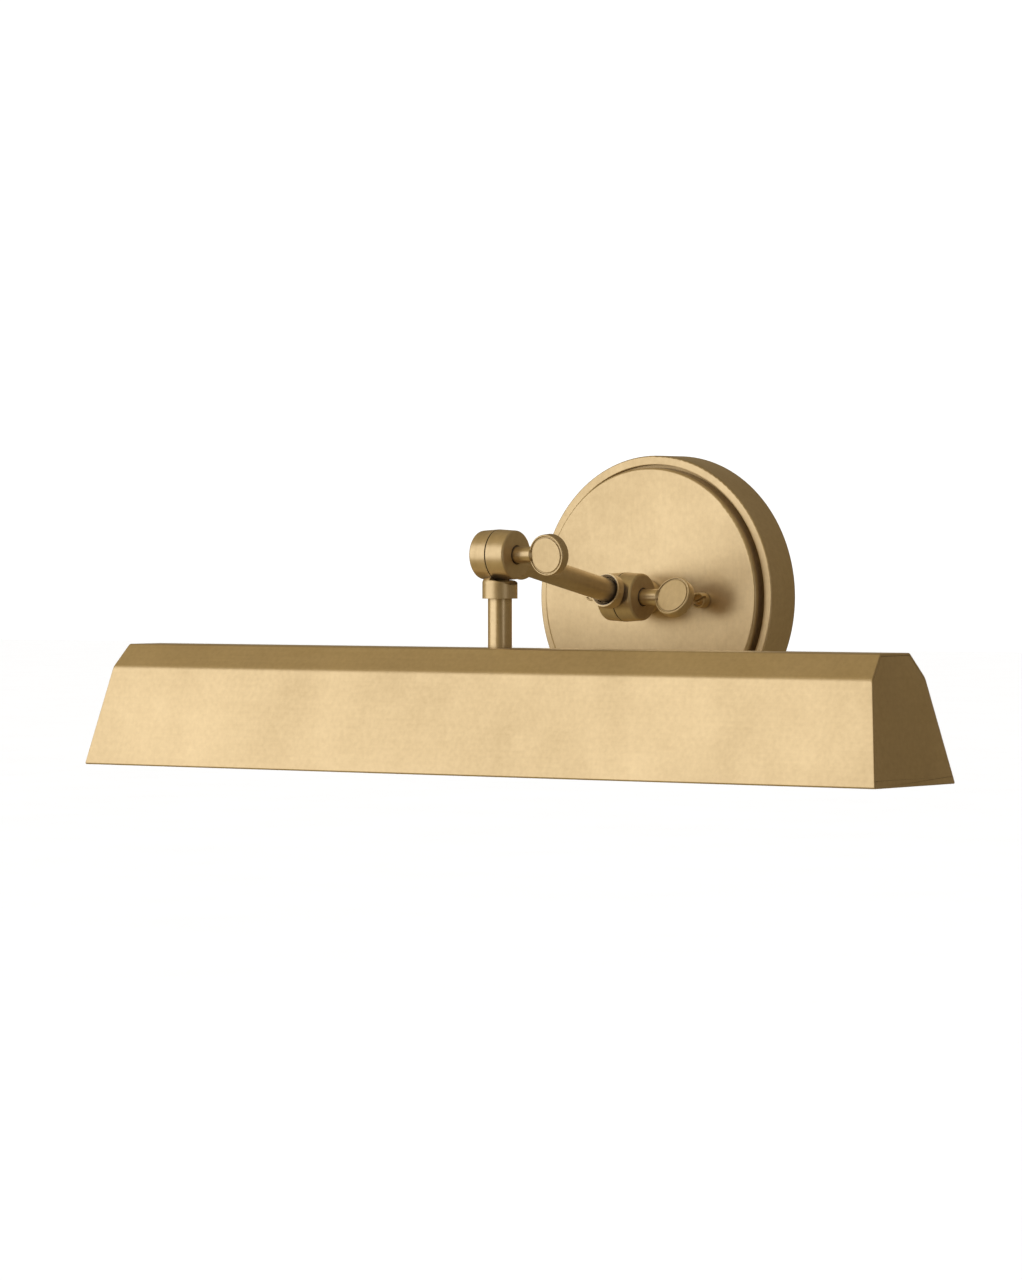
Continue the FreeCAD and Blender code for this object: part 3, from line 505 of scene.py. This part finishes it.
# Cap nuts: two round slotted nuts turned from brass bar, their shanks reaching through the disc onto
# the studs. The face is recessed inside a rounded rim.
brass_nut = aged_brass("brass_nut", (1.0, 0.3, 0.3), 0.3, 0.28, 0.0, 0.5, 19.0, 0.3, 1.2)
CAP_RADIUS = 3.72
CAP_RECESS = 0.9
CAP_SHANK = 2.9
CAP_BORE = STUD_RADIUS + 0.05
CAP_BORE_END = 3.4
CAP_SLOT_HALF = 0.65
CAP_SLOT_FLOOR = 2.7
CAP_SLOT_TURN = math.radians(23.0)
low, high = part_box("canopy_nuts")
disc_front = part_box("face_disc")[0].y
made = []
for place in twin_places("canopy_nuts", CAP_RADIUS):
    top = (disc_front - low.y) / MM
    deep = (high.y - low.y) / MM
    outline = [(CAP_RECESS, 0), (CAP_RECESS, CAP_RADIUS - 0.75), (0.15, CAP_RADIUS - 0.7)]
    outline += [(0, CAP_RADIUS - 0.55), (0, CAP_RADIUS - 0.3), (0.3, CAP_RADIUS)]
    outline += [(top - 0.25, CAP_RADIUS), (top, CAP_RADIUS - 0.2), (top, CAP_SHANK)]
    outline += [(deep - 0.3, CAP_SHANK), (deep, CAP_SHANK - 0.3), (deep, CAP_BORE)]
    outline += [(CAP_BORE_END, CAP_BORE), (CAP_BORE_END, 0)]
    face = Vector((place.x, low.y, place.z))
    nut = spun("nut", outline, face, BACKWARD, brass_nut, 48)
    slot = driver_slot(face, BACKWARD, CAP_SLOT_HALF, 4.5, CAP_SLOT_FLOOR, brass_nut)
    about = Matrix.Translation(face) @ Matrix.Rotation(-CAP_SLOT_TURN, 4, "Y")
    slot.data.transform(about @ Matrix.Translation(-face))
    made.append(join(nut, slot, "DIFFERENCE"))
fit(gather("slotted_cap_nuts", made), "base", "aged_brass", "canopy_nuts")

# Knuckles: four alike brass castings in two pairs, each one half of a crowned drum with a collar,
# turned and tapped. A thin black fibre ring lies in each parting to grip.
brass_turned = aged_brass("brass_turned", (1.0, 0.3, 0.3), 0.3, 0.36, 0.55, 0.8, 23.0)
dress(brass_turned, "wall_knuckle", "arm_lower_knuckle", "arm_upper_knuckle", "head_knuckle")
fibre = mottled("fibre", (0.010, 0.009, 0.008), (0.05, 0.042, 0.035), 500, 0.85, 0.1, 0.4)
dress(fibre, "lower_friction_washer", "upper_friction_washer")

# Collar mouth: the bevel turned inside the lower collar of the arm, where the tool has cut through
# the dark finish and left a bare, silvery ring.
bare = mottled("bare_bevel", (0.42, 0.41, 0.43), (0.80, 0.79, 0.82), 300, 0.24, 0.2, 0.1, Metallic=1.0)
SOCKET_RADIUS = 6.45
BEVEL = 1.1
MOUTH_RADIUS = SOCKET_RADIUS + BEVEL
COLLAR_REACH = 18.5
out = (pivot["head_pivot"] - pivot["arm_pivot"]).normalized()
lip = [(COLLAR_REACH - BEVEL, SOCKET_RADIUS - 0.03), (COLLAR_REACH - 0.02, MOUTH_RADIUS - 0.06),
       (COLLAR_REACH - 0.02, MOUTH_RADIUS - 0.1), (COLLAR_REACH - BEVEL, SOCKET_RADIUS - 0.07)]
fit(spun("arm_collar_bevel", lip, pivot["arm_pivot"], out, bare, 72), "arm", "aged_brass")

# Arm and stem: drawn brass tubes, brushed along their length. The arm is threaded into a collar at
# each end; the stem hangs from the head's collar and passes through the top of the shade.
dress(aged_brass("brass_arm", (1.0, 0.05, 1.0), 0.9, 0.33, 0.0, 0.9, 31.0), "arm_tube")
dress(aged_brass("brass_stem", (1.0, 1.0, 0.04), 1.2, 0.30, 0.0, 0.9, 37.0), "head_stem")

# Thumb screws: a round brass paddle set on edge, with a ring groove in each flat face, brazed to a
# turned shank. The steel stud pressed in the shank pulls the two halves of a knuckle together.
brass_knob = aged_brass("brass_knob", (1.0, 0.3, 0.05), 0.7, 0.31, 0.0, 0.9, 41.0, 0.3, 2.0)
KNOB_RADIUS = 9.7
KNOB_HALF = 2.6
KNOB_X = 28.4
RIM_PROUD = 0.12
GROOVE_DEPTH = 0.5
SHANK_RADIUS = 3.95
SHANK_START = 8.8
WELL_DEPTH = 7.0
CLAMP_RADIUS = 2.95


def thumb_screw(name, node, joint, body, turn):
    """Paddle and shank of the screw on JOINT, leaning TURN degrees about it."""
    half = [(0, 0, 0), (0, KNOB_RADIUS - 1.65, 0.12), (GROOVE_DEPTH, KNOB_RADIUS - 1.55, 0.05),
            (GROOVE_DEPTH, KNOB_RADIUS - 0.9, 0.05), (-RIM_PROUD, KNOB_RADIUS - 0.8, 0.08),
            (-RIM_PROUD, KNOB_RADIUS - 0.3, 0.2), (0.4, KNOB_RADIUS, 0.3)]
    front = [(along - KNOB_HALF + RIM_PROUD, radius, r) for along, radius, r in half]
    back = [(-along, radius, r) for along, radius, r in reversed(front)]
    centre = pivot[joint] + Vector((KNOB_X * MM, 0, 0))
    paddle = spun(name, soften(front + back, False, 3), centre, BACKWARD, brass_knob, 96, 28.0)
    neck = KNOB_X - KNOB_RADIUS
    outline = soften([
        (SHANK_START, CLAMP_RADIUS, 0), (SHANK_START, SHANK_RADIUS, 0.2), (neck + 0.9, SHANK_RADIUS, 0.5),
        (neck + 1.9, 2.35, 0.2), (neck + 4.0, 2.3, 0.2), (neck + 4.0, 0, 0)], False, 3)
    outline = [(SHANK_START + WELL_DEPTH, 0), (SHANK_START + WELL_DEPTH, CLAMP_RADIUS)] + outline
    shank = spun("shank", outline, pivot[joint], (1, 0, 0), brass_knob, 56)
    screw = join(paddle, shank)
    lean = Matrix.Rotation(math.radians(turn), 4, "X")
    screw.data.transform(Matrix.Translation(pivot[joint]) @ lean @ Matrix.Translation(-pivot[joint]))
    return fit(screw, body, "aged_brass", node)


thumb_screw("lower_thumb_screw", "lower_knob", "lower_thumb_turn", "lower_thumb", -24.0)
thumb_screw("upper_thumb_screw", "upper_knob", "upper_thumb_turn", "upper_thumb", 5.0)
dress(zinc, "lower_clamp_stud", "upper_clamp_stud")

# Shade: a long trough bent from one brass sheet, with soft folds and a doubled hem along each lower
# edge, brushed along its length. Its ends lean out towards the foot; the stem's nut holds it.
brass_sheet = aged_brass("brass_sheet", (0.02, 1.0, 1.0), 0.45, 0.34, 0.0, 0.8, 11.0, 0.3)
SHEET = 1.2
SPLAY = 0.181
FOLD = 21.9
TOP = 12.1
SHOULDER = 11.1
FOLD_BEND = 6.0
TOP_BEND = 2.2
HEM = 3.2
HEM_BEND = 0.8
shell_low, shell_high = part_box("shade_shell")
drop = (shell_high.z - shell_low.z) / MM
foot = (shell_high.y - shell_low.y) / MM / 2
half_length = (shell_high.x - shell_low.x) / MM / 2
middle = Vector((0, (shell_low.y + shell_high.y) / 2, shell_high.z))


def side_corners(inset, low):
    """Foot, fold and top corners of one side, as (y, z) from the top's middle, moved in by INSET;
    the foot corner is LOW mm down."""
    lean = Vector((TOP - FOLD, SHOULDER)).normalized()
    wall = Vector((FOLD - foot, drop - SHOULDER)).normalized()
    def meet(point_a, way_a, point_b, way_b):
        across = way_a.x * way_b.y - way_a.y * way_b.x
        gap = point_b - point_a
        return point_a + way_a * ((gap.x * way_b.y - gap.y * way_b.x) / across)
    wall_point = Vector((foot, -drop)) + Vector((-wall.y, wall.x)) * inset
    lean_point = Vector((FOLD, -SHOULDER)) + Vector((-lean.y, lean.x)) * inset
    level = Vector((1, 0))
    return (
        meet(wall_point, wall, Vector((0, -low)), level),
        meet(wall_point, wall, lean_point, lean),
        meet(lean_point, lean, Vector((0, -inset)), level),
    )


def at_end(points, side, inward):
    """Points of a section set on the leaning end plane of one SIDE, INWARD mm inside it."""
    row = []
    for y, z in points:
        reach = half_length - SPLAY * (z + drop) - inward
        row.append(middle + Vector((side * reach, y, z)) * MM)
    return row


def shrunk(points, by):
    """Closed outline moved in by BY along its own normals."""
    area = sum(a[0] * b[1] - b[0] * a[1] for a, b in zip(points, points[1:] + points[:1]))
    way = 1 if area > 0 else -1
    moved = []
    for k, point in enumerate(points):
        ahead = points[(k + 1) % len(points)]
        along = Vector((ahead[0] - points[k - 1][0], ahead[1] - points[k - 1][1])).normalized()
        moved.append((point[0] - along.y * by * way, point[1] + along.x * by * way))
    return moved


def shell_section():
    """Closed section of the bent sheet with its two hems."""
    outer = side_corners(0, drop)
    inner = side_corners(SHEET, drop - HEM)
    hem_low = side_corners(2 * SHEET, drop)[0]
    hem_high = side_corners(2 * SHEET, drop - HEM)[0]
    half = [(*outer[2], TOP_BEND), (*outer[1], FOLD_BEND), (*outer[0], HEM_BEND), (*hem_low, HEM_BEND)]
    half += [(*hem_high, HEM_BEND / 2)]
    half += [(*inner[0], 0.15), (*inner[1], FOLD_BEND - SHEET), (*inner[2], TOP_BEND - SHEET)]
    return soften(half + [(-y, z, r) for y, z, r in reversed(half)], steps=7)


section = shell_section()
rows = []
for inward, by in ((0.0, 0.3), (0.09, 0.1), (0.3, 0.0), (0.9, 0.0)):
    rows.append(at_end(shrunk(section, by), -1, inward))
left, right = at_end(section, -1, 0.9), at_end(section, 1, 0.9)
STATIONS = 24
for k in range(1, STATIONS):
    rows.append([a.lerp(b, k / STATIONS) for a, b in zip(left, right)])
for inward, by in ((0.9, 0.0), (0.3, 0.0), (0.09, 0.1), (0.0, 0.3)):
    rows.append(at_end(shrunk(section, by), 1, inward))
shell = loft("shade_trough", rows, brass_sheet, crease=40.0)
stem_hole = PIPE_RADIUS + PIPE_PLAY
hole = spun("hole", [(-3, 0), (-3, stem_hole), (3, stem_hole), (3, 0)], middle, (0, 0, 1), brass_sheet, 48)
fit(join(shell, hole, "DIFFERENCE"), "head", "aged_brass", "shade_shell")

# End plates: two flat plates cut from brass sheet and let into the trough's ends, notched round its
# hems, soldered all round and rubbed smooth.
brass_end = aged_brass("brass_end", (1.0, 0.05, 1.0), 0.35, 0.33, 0.0, 0.9, 57.0, 0.3)
END_SHEET = 1.5
END_PLAY = 0.02
SIDES = (("left", -1), ("right", 1))
for word, side in SIDES:
    low_corner = side_corners(2 * SHEET + END_PLAY, drop)[0]
    step_out = side_corners(SHEET + END_PLAY, drop - HEM)[0]
    step_in = side_corners(2 * SHEET + END_PLAY, drop - HEM)[0]
    upper = side_corners(SHEET + END_PLAY, drop)[1:]
    half = [(*upper[1], TOP_BEND - SHEET), (*upper[0], FOLD_BEND - SHEET)]
    half += [(*step_out, 0.1), (*step_in, 0.2), (*low_corner, 0.2)]
    section = soften(half + [(-y, z, r) for y, z, r in reversed(half)], steps=6)
    edges = [(0.06, 0.25), (0.10, 0.08), (0.25, 0.0), (END_SHEET - 0.1, 0.0), (END_SHEET, 0.1)]
    rows = [at_end(shrunk(section, by), side, inward) for inward, by in edges]
    plate = loft("shade_plate_" + word, rows, brass_end)
    fit(plate, "head", "aged_brass", "shade_end_" + word)

# Lamp holders: black phenolic barrels, moulded with ribs for grip. The hollow boss at the back of each
# goes through a leg of the lamp bracket and is held there by a nut.
phenolic = mottled("phenolic", (0.008, 0.007, 0.006), (0.022, 0.018, 0.015), 260, 0.34, 0.12, 0.08)
HOLDER_RADIUS = 17.0
HOLDER_LENGTH = 44.0
HOLDER_BACK = 15.5
WELL_RADIUS = 14.02
BOSS = 6.0
BOSS_BORE = 2.6
CONTACT_RADIUS = 5.0
CONTACT_FLOOR = 10.0
RIBS = 9
RIB_START = 9.0
RIB_PITCH = 2.6
RIB_DEPTH = 0.7


def holder_back(word, side):
    """Middle of a lamp holder's back face, where its boss begins, and its way out along X."""
    low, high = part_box("socket_" + word)
    centre = (low + high) / 2
    axis = Vector((side, 0, 0))
    return Vector((low.x if side > 0 else high.x, centre.y, centre.z)) + axis * BOSS * MM, axis


for word, side in SIDES:
    back, axis = holder_back(word, side)
    outline = [(-BOSS, BOSS_BORE, 0.2), (-BOSS, PIPE_RADIUS, 0.3), (0, PIPE_RADIUS, 0.2)]
    outline += [(0, HOLDER_RADIUS - 2.2, 0.3), (2.4, HOLDER_RADIUS, 1.4)]
    for k in range(RIBS):
        along = RIB_START + RIB_PITCH * k
        root = HOLDER_RADIUS - RIB_DEPTH
        outline += [(along, HOLDER_RADIUS, 0.25), (along + 0.5, root, 0.2)]
        outline += [(along + 1.2, root, 0.2), (along + 1.7, HOLDER_RADIUS, 0.25)]
    outline += [(HOLDER_LENGTH, HOLDER_RADIUS, 1.0), (HOLDER_LENGTH, WELL_RADIUS, 0.6)]
    outline += [(HOLDER_BACK, WELL_RADIUS, 0.2), (HOLDER_BACK, CONTACT_RADIUS, 0.2)]
    outline += [(CONTACT_FLOOR, CONTACT_RADIUS, 0.2), (CONTACT_FLOOR, BOSS_BORE, 0.1)]
    holder = spun("lamp_holder_" + word, soften(outline, steps=3), back, axis, phenolic, 80)
    fit(holder, "head", "phenolic", "socket_" + word)

# Screw shells: thin brass cups with the lamp thread rolled in them, which line the holders.
# They are drawn from sheet and left bright.
BRIGHT_DARK = (0.66, 0.49, 0.22)
BRIGHT_LIGHT = (0.88, 0.71, 0.38)
plain_brass = mottled("plain_brass", BRIGHT_DARK, BRIGHT_LIGHT, 160, 0.24, 0.12, 0.05, Metallic=1.0)
LAMP_PITCH = 3.62
CUP_LENGTH = 25.0
CUP_FLOOR = 0.35
for word, side in SIDES:
    back, axis = holder_back(word, side)
    outer = [(0, 0), (0, WELL_RADIUS - 0.4)]
    outer += threads(0.6, CUP_LENGTH - 0.6, WELL_RADIUS - 0.04, LAMP_PITCH, 0.5, 10)
    outer += [(CUP_LENGTH, WELL_RADIUS - 0.3), (CUP_LENGTH, WELL_RADIUS - 0.62)]
    inner = threads(CUP_LENGTH - 0.6, 0.6, WELL_RADIUS - 0.36, LAMP_PITCH, 0.4, 10)
    inner += [(CUP_FLOOR, WELL_RADIUS - 0.9), (CUP_FLOOR, 0)]
    seat = back + axis * HOLDER_BACK * MM
    cup = spun("lamp_thread_" + word, outer + inner, seat, axis, plain_brass, 64)
    fit(cup, "head", "plain_brass", "screw_shell_" + word)

# Bulbs: each an aluminium screw cap with its centre contact, rolled onto the neck of a tubular
# glass that is frosted inside.
cap_metal = mottled("bulb_cap", (0.62, 0.62, 0.60), (0.82, 0.82, 0.81), 200, 0.28, 0.15, 0.05, Metallic=1.0)
glass, shading = new_material("bulb_glass", Transmission_Weight=0.55, IOR=1.45)
frost = grain(shading, 900.0, 2.0, shift=2.0)
milk = mix(shading, grain(shading, 60.0, 2.0), (0.86, 0.85, 0.80), (0.95, 0.94, 0.91))
pebble = shading.node("ShaderNodeBump", Strength=0.1, Distance=0.0002, Height=frost)
feed(glass, Base_Color=milk, Roughness=0.34 + (frost - 0.5) * 0.12, Normal=pebble)
CAP_BACK = 0.6
BASE_RADIUS = 13.2
BASE_LENGTH = 26.0
BULB_RADIUS = 15.9
BULB_WALL = 0.9
for word, side in SIDES:
    back, axis = holder_back(word, side)
    seat = back + axis * (HOLDER_BACK + CAP_BACK) * MM
    outline = [(0, 0), (0, 4.0), (0.35, 4.5), (1.2, 4.6), (3.6, 8.8), (4.4, BASE_RADIUS - 1.2)]
    outline += threads(5.4, 22.0, BASE_RADIUS, LAMP_PITCH, 0.95, 12)
    outline += [(23.0, BASE_RADIUS - 0.4), (BASE_LENGTH, BASE_RADIUS - 0.2), (BASE_LENGTH, BASE_RADIUS - 0.5)]
    outline += [(22.0, BASE_RADIUS - 1.5), (6.0, BASE_RADIUS - 1.6), (6.0, 0)]
    base = spun("screw_cap_" + word, outline, seat, axis, cap_metal, 64)
    fit(base, "head", "bulb_cap", "bulb_base_" + word)
    low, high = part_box("bulb_glass_" + word)
    tip = abs((high.x if side > 0 else low.x) - seat.x) / MM
    neck = BASE_RADIUS - 0.58
    inside = BULB_RADIUS - BULB_WALL
    envelope = [(22.5, neck - 1.15, 0), (27.0, neck, 1.5), (35.0, BULB_RADIUS, 8.0)]
    envelope += [(tip, BULB_RADIUS, BULB_RADIUS - 0.3), (tip, 0, 0)]
    hollow = [(tip - BULB_WALL, 0, 0), (tip - BULB_WALL, inside, BULB_RADIUS - 1.2), (35.2, inside, 8.0)]
    hollow += [(27.4, neck - BULB_WALL, 1.5), (22.5, neck - 1.15 - BULB_WALL, 0)]
    outline = soften(envelope, False, 14) + soften(hollow, False, 14)
    bulb = spun("bulb_tube_" + word, outline, seat, axis, glass, 72)
    fit(bulb, "head", "bulb_glass", "bulb_glass_" + word)

# Studio: a plain pale floor well below the fixture, in a white room that is warmer and darker in the
# brass's reflections.
FLOOR_Z = -0.95
FLOOR_HALF = 40.0
corners = [(x * FLOOR_HALF, y * FLOOR_HALF, FLOOR_Z) for x, y in ((-1, -1), (1, -1), (1, 1), (-1, 1))]
floor_mesh = bpy.data.meshes.new("floor")
floor_mesh.from_pydata(corners, [], [(0, 1, 2, 3)])
pale = mottled("pale_floor", (0.93, 0.93, 0.93), (0.96, 0.96, 0.96), 2.0, 0.9, 0.05, 0.0)
floor = link("floor", floor_mesh, pale)
floor.visible_glossy = False
floor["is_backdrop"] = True

studio = bpy.data.worlds.new("studio")
bpy.context.scene.world = studio
studio.use_nodes = True
ROOM_WHITE = (1.12, 1.12, 1.12)
ROOM_DIM = (0.19, 0.138, 0.066)
ROOM_LIT = (0.44, 0.335, 0.16)
ROOM_GAP = (0.05, 0.03, 0.01)
TOWARDS_LIGHT = (-0.54, -0.83, 0.12)
TOWARDS_GAP = (0.57, -0.82, 0.0)
shading = Socket(studio.node_tree)
way = shading.node("ShaderNodeTexCoord", out=0)
dot = {"operation": "DOT_PRODUCT"}
lit = shading.node("ShaderNodeVectorMath", dot, out=1, s0=way, s1=TOWARDS_LIGHT) * 1.1 + 0.3
gap = shading.node("ShaderNodeVectorMath", dot, out=1, s0=way, s1=TOWARDS_GAP) * 6.0 - 5.0
room = mix(shading, shading.math("MULTIPLY", lit, 1.0, clamp=True), ROOM_DIM, ROOM_LIT)
room = mix(shading, shading.math("MULTIPLY", gap, 0.7, clamp=True), room, ROOM_GAP)
reflected = shading.node("ShaderNodeLightPath", out=3)
sky = mix(shading, reflected, ROOM_WHITE, room)
studio.node_tree.links.new(sky.socket, studio.node_tree.nodes["Background"].inputs[0])

# Lights: one large soft panel from the front left and a slim dim one on the right, both aimed at the
# middle of the fixture and unseen by the camera.
FIXTURE = Vector((0, -0.1, 0))


def soft_light(name, place, width, height, power):
    """A panel of WIDTH by HEIGHT metres at PLACE, of POWER watts."""
    lamp = bpy.data.lights.new(name, "AREA")
    lamp.shape = "RECTANGLE"
    lamp.size = width
    lamp.size_y = height
    lamp.energy = power
    panel = bpy.data.objects.new(name, lamp)
    bpy.context.scene.collection.objects.link(panel)
    panel.location = place
    panel.rotation_euler = (FIXTURE - Vector(place)).to_track_quat("-Z", "Y").to_euler()
    panel.visible_camera = False


soft_light("front_left", (-1.51, -2.24, 0.5), 3.5, 2.4, 21.5)
soft_light("right_strip", (2.3, -0.95, 0.1), 0.5, 1.6, 1.3)

# Camera: a long lens, nearly level with the fixture and well round to its right, aimed at the middle
# of the fixture.
turn = math.radians(36.70)
pitch = math.radians(1.001)
roll = math.radians(-0.056)
DISTANCE = 2.42339
AIM = Vector((-0.013589, -0.11883, -0.019794))
SENSOR_WIDTH = 36.0
LENS_LENGTH = 144.1378125
ahead = Vector((-math.sin(turn) * math.cos(pitch), math.cos(turn) * math.cos(pitch), -math.sin(pitch)))
level = Vector((math.cos(turn), math.sin(turn), 0))
upright = level.cross(ahead)
right = level * math.cos(roll) + upright * math.sin(roll)
up = upright * math.cos(roll) - level * math.sin(roll)
spot = AIM - ahead * DISTANCE
lens = bpy.data.cameras.new("camera")
lens.sensor_width = SENSOR_WIDTH
lens.lens = LENS_LENGTH
lens.clip_start = 0.1
viewer = bpy.data.objects.new("camera", lens)
bpy.context.scene.collection.objects.link(viewer)
viewer.matrix_world = Matrix((
    (right.x, up.x, -ahead.x, spot.x),
    (right.y, up.y, -ahead.y, spot.y),
    (right.z, up.z, -ahead.z, spot.z),
    (0, 0, 0, 1),
))
bpy.context.scene.camera = viewer
bpy.context.scene.view_settings.view_transform = "Standard"


def plain(value):
    """The same value as plain lists and numbers."""
    if isinstance(value, dict):
        return {key: plain(item) for key, item in value.items()}
    if isinstance(value, (list, tuple, Vector)):
        return [plain(item) for item in value]
    return float(value)


{"loaded": plain(loaded_bounds), "finished": plain(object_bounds())}
